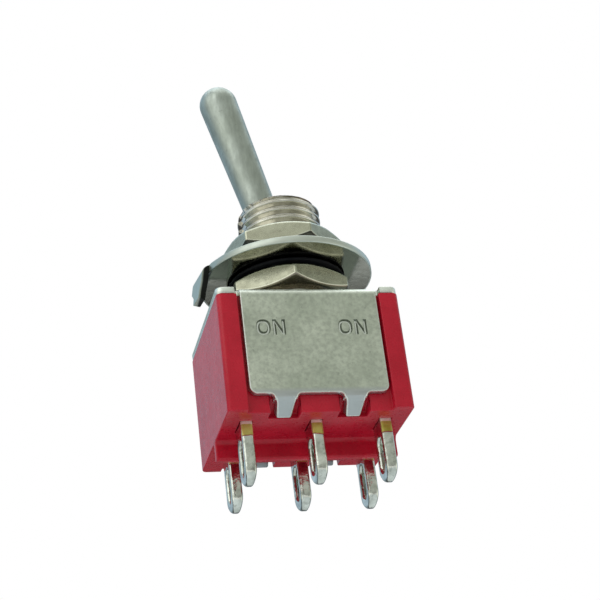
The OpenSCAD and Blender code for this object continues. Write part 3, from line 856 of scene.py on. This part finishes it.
# the nuts' rounded edges get the lighter material, a painted highlight
for nut in ("lower_nut", "upper_nut"):
    softened(nut, NUT_BEVEL, (NUT, NUT_EDGE_HIGHLIGHT), "nickel", segments=3, edge_slot=1)
softened(
    "tab_washer",
    WASHER_BEVEL,
    (WASHER,),
    "washer_steel",
    within=lambda p: p.x > LOCATING_TAB_X,
    moved=tip_lowered,
)
# the lock washer is near black, painted shade for the gap it sits in
softened("lock_washer", LOCK_WASHER_BEVEL, (LOCK_WASHER_SHADE,), "spring_steel", segments=1)
for pole in ("front", "back"):
    for place in ("left", "mid", "right"):
        lug = f"terminal_{pole}_{place}"
        softened(lug, LUG_BEVEL, (LUG,), "tinned_brass", segments=4, moved=drawn_in)
dress("lever", LEVER)
dress("lever_pin", STEEL)
dress("carrier", NYLON)
for pole in ("front", "back"):
    dress(f"plunger_{pole}", BRASS)
    coil(pole)
    dress(f"rocker_{pole}", BRASS)
    for place in ("left", "right"):
        dress(f"contact_{pole}_{place}", SILVER)

# ---------------------------------------------------------------- stage, light and camera
# All in metres
FLOOR_Z = -0.085
FLOOR_HALF = 0.165
# Name, place, size and watts of each soft box. They all look at the origin.
SOFTBOXES = (
    ("key", (-0.24, -0.20, 0.20), (0.30, 0.26), 0.19),
    ("top", (0.04, 0.04, 0.30), (0.36, 0.36), 0.34),
    ("under", (-0.02, -0.22, -0.20), (0.44, 0.30), 0.20),
)


def pale_floor():
    h = FLOOR_HALF
    corners = [(x, y, FLOOR_Z) for x, y in ((-h, -h), (h, -h), (h, h), (-h, h))]
    data = bpy.data.meshes.new("floor")
    data.from_pydata(corners, [], [(0, 1, 2, 3)])
    paper = Finish("pale_floor")
    paper.color(paper.clouded(paper.noise(30, detail=2), (0.86, 0.86, 0.86), (0.90, 0.90, 0.90)))
    paper.put("Roughness", 0.9)
    data.materials.append(paper.material)
    floor = bpy.data.objects.new("floor", data)
    add_to_scene(floor)


def softbox(name, place, size, watts):
    data = bpy.data.lights.new(name, "AREA")
    data.shape = "RECTANGLE"
    data.size, data.size_y = size
    data.energy = watts
    light = bpy.data.objects.new(name, data)
    light.location = place
    light.rotation_euler = (-Vector(place)).to_track_quat("-Z", "Y").to_euler()
    add_to_scene(light)


def studio():
    """The world: a room that lights the switch and is seen in its metal, and plain white where the
    camera looks past it. The camera looks along +Y. The room is bright above, and dark low down
    ahead. Behind the camera it is grey on the right, and has a bright strip low on either side. One
    dark patch lies straight ahead."""
    world = bpy.data.worlds.new("studio")
    bpy.context.scene.world = world
    w = Nodes(world, "Generated")
    ahead = w.spread(w.along("Y"), -0.25, 0.35)
    behind = w.minus(1.0, ahead)
    above = w.spread(w.along("Z"), -0.25, 0.40)
    upper = w.mix(ahead, (0.60, 0.62, 0.58), (0.46, 0.59, 0.71))
    lower = w.mix(ahead, (0.38, 0.38, 0.36), (0.07, 0.07, 0.07))
    room = w.mix(above, lower, upper)
    right = w.times(w.spread(w.along("X"), 0.0, 0.5), behind)
    room = w.mix(right, room, w.mix(above, (0.24, 0.24, 0.23), (0.40, 0.42, 0.38)))
    sides = w.times(w.spread(w.absolute(w.along("X")), 0.50, 0.72), behind)
    room = w.mix(w.times(sides, w.minus(1.0, above)), room, (1.10, 1.10, 1.02))
    patch = w.spread(w.dot(w.where, (0.24, 0.861, 0.449)), 0.93, 0.98)
    room = w.mix(patch, room, (0.14, 0.14, 0.15))
    lit, plain = w.add("ShaderNodeBackground"), w.add("ShaderNodeBackground")
    w.link(room, lit.inputs["Color"])
    plain.inputs["Color"].default_value = (1.0, 1.0, 1.0, 1.0)
    both = w.add("ShaderNodeMixShader")
    w.link(w.add("ShaderNodeLightPath").outputs["Is Camera Ray"], both.inputs["Fac"])
    w.link(lit.outputs["Background"], both.inputs[1])
    w.link(plain.outputs["Background"], both.inputs[2])
    w.link(both.outputs["Shader"], w.add("ShaderNodeOutputWorld").inputs["Surface"])


def fitted_camera():
    """The camera that was fitted to the picture. The rows are its right, up and back directions and
    its place."""
    data = bpy.data.cameras.new("camera")
    data.sensor_width = 36.0
    data.lens = 95.69
    data.shift_x = -0.0041
    data.shift_y = 0.0040
    data.clip_start = 0.005
    data.clip_end = 10.0
    camera = bpy.data.objects.new("camera", data)
    place = Vector((-26.17, -97.573, -49.27)) * MM
    camera.matrix_world = Matrix(
        (
            (0.97079, -0.21094, -0.11435, 0.0),
            (0.00381, -0.46299, 0.88636, 0.0),
            (-0.23991, -0.86090, -0.44866, 0.0),
            (*place, 1.0),
        )
    ).transposed()
    add_to_scene(camera)
    bpy.context.scene.camera = camera


pale_floor()
for box in SOFTBOXES:
    softbox(*box)
studio()
fitted_camera()
bpy.context.scene.view_settings.view_transform = "Standard"
bpy.context.scene.view_settings.look = "None"
